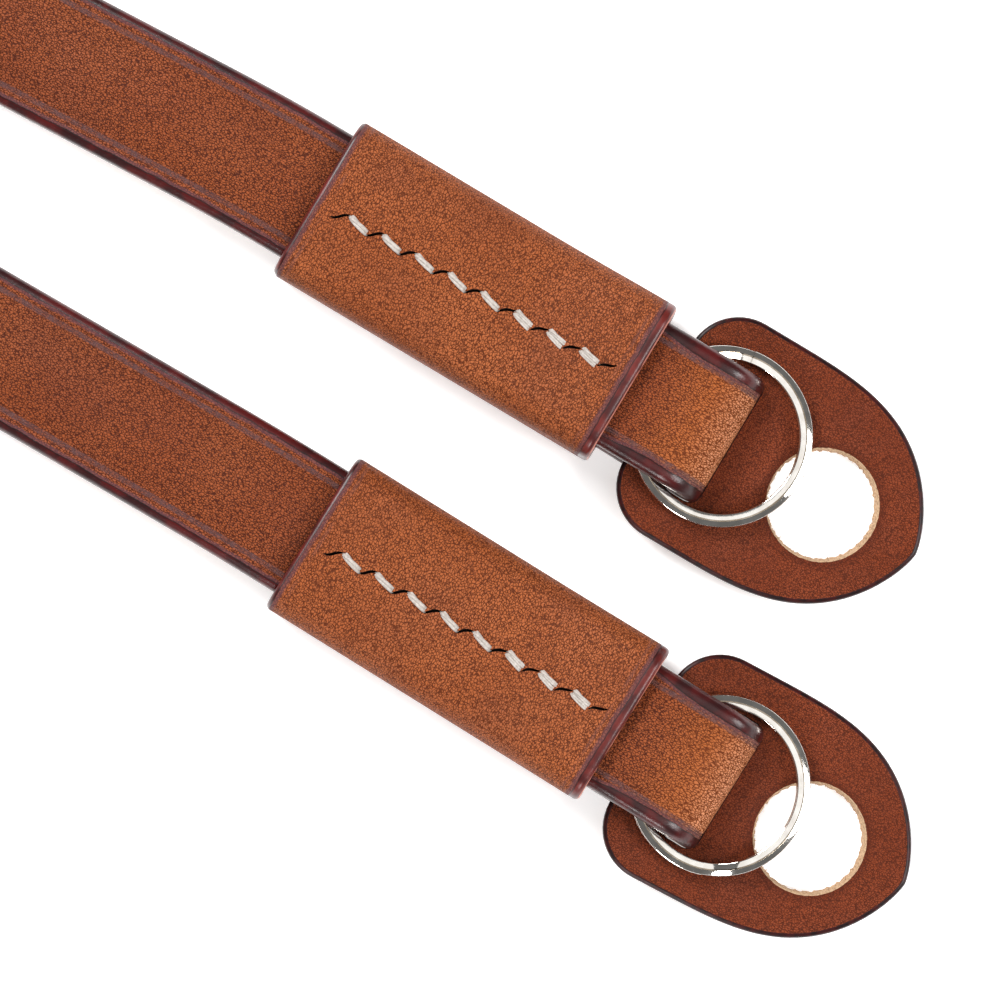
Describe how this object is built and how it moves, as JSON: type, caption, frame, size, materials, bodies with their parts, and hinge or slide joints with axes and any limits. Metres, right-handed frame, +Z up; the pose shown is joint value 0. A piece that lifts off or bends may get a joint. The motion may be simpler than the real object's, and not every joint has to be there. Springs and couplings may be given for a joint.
{
  "type": "camera neck strap",
  "caption": "Slim leather camera neck strap laid out as one loop, each end folded round a split ring with a shield-shaped protector pad and a stitched sleeve.",
  "frame": {"origin": "middle of the bounding box, at its base", "axes": "+X along the strap towards its two ends, +Y towards end a, +Z up"},
  "size_m": [0.4838, 0.118, 0.012],
  "materials": {
    "strap_leather": "fine grain, waxed, dyed rounded edges",
    "sleeve_leather": "fine grain, burnished dark ends",
    "pad_leather": "fine grain, smooth, raw hole wall",
    "ring_nickel": "polished nickel plating"
  },
  "bodies": {
    "strap_body": {"strap": "strap_leather", "sleeve_a": "sleeve_leather", "sleeve_b": "sleeve_leather", "pad_a": "pad_leather", "pad_b": "pad_leather"},
    "ring_a": {"ring_a": "ring_nickel"},
    "ring_b": {"ring_b": "ring_nickel"}
  },
  "joints": [
    {"name": "ring_a_turn", "type": "hinge", "parent": "strap_body", "child": "ring_a", "pos_m": [0.2098, 0.01131, 0.00441], "axis": [0.1245, -0.0036, 0.9922], "continuous": true},
    {"name": "ring_b_turn", "type": "hinge", "parent": "strap_body", "child": "ring_b", "pos_m": [0.224, -0.01454, 0.00443], "axis": [0.1365, -0.0062, 0.9906], "continuous": true}
  ]
}
